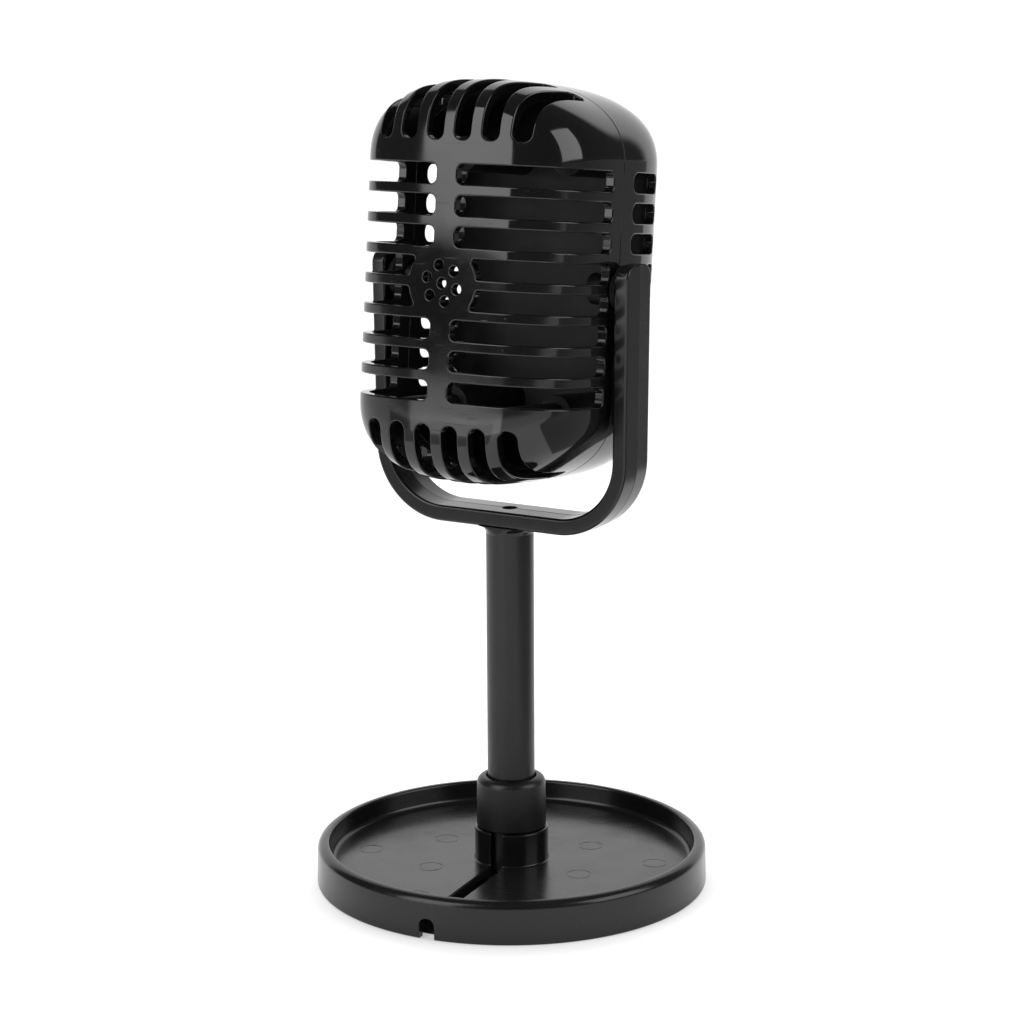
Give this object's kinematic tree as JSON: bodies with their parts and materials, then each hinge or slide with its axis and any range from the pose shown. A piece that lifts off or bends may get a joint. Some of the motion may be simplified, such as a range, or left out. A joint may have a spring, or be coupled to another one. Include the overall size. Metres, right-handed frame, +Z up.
{
  "type": "toy microphone",
  "caption": "Retro table microphone prop: slotted hollow head that tilts in a U-shaped yoke, on a slim stem that turns in a round dish base with a cable slot.",
  "frame": {"origin": "centre of the base's underside, on the surface it stands on", "axes": "+Z up along the stem, -Y towards the microphone's slotted front, +X along the head's tilt axis to its left as it faces"},
  "size_m": [0.1, 0.1, 0.2037],
  "materials": {
    "gloss_black": "gloss moulded black",
    "satin_black": "satin moulded black",
    "screw_steel": "plain steel",
    "black_rubber": "matt"
  },
  "bodies": {
    "base": {"base_dish": "satin_black"},
    "stem": {"stem_collar": "satin_black", "base_washer": "screw_steel", "base_screw": "screw_steel", "stem_tube": "satin_black", "stem_top_plug": "satin_black", "yoke": "satin_black", "yoke_screw": "screw_steel", "friction_washer_left": "black_rubber", "friction_washer_right": "black_rubber"},
    "head": {"head_front_shell": "gloss_black", "head_back_shell": "gloss_black", "pivot_pin_left": "screw_steel", "pivot_pin_right": "screw_steel", "shell_screw_upper_left": "screw_steel", "shell_screw_upper_right": "screw_steel", "shell_screw_lower_left": "screw_steel", "shell_screw_lower_right": "screw_steel"}
  },
  "joints": [
    {"name": "stem_swivel", "type": "hinge", "parent": "base", "child": "stem", "pos_m": [0, 0, 0.0138], "axis": [0, 0, 1], "continuous": true},
    {"name": "head_tilt", "type": "hinge", "parent": "stem", "child": "head", "pos_m": [0, 0, 0.1537], "axis": [1, 0, 0], "continuous": true}
  ]
}
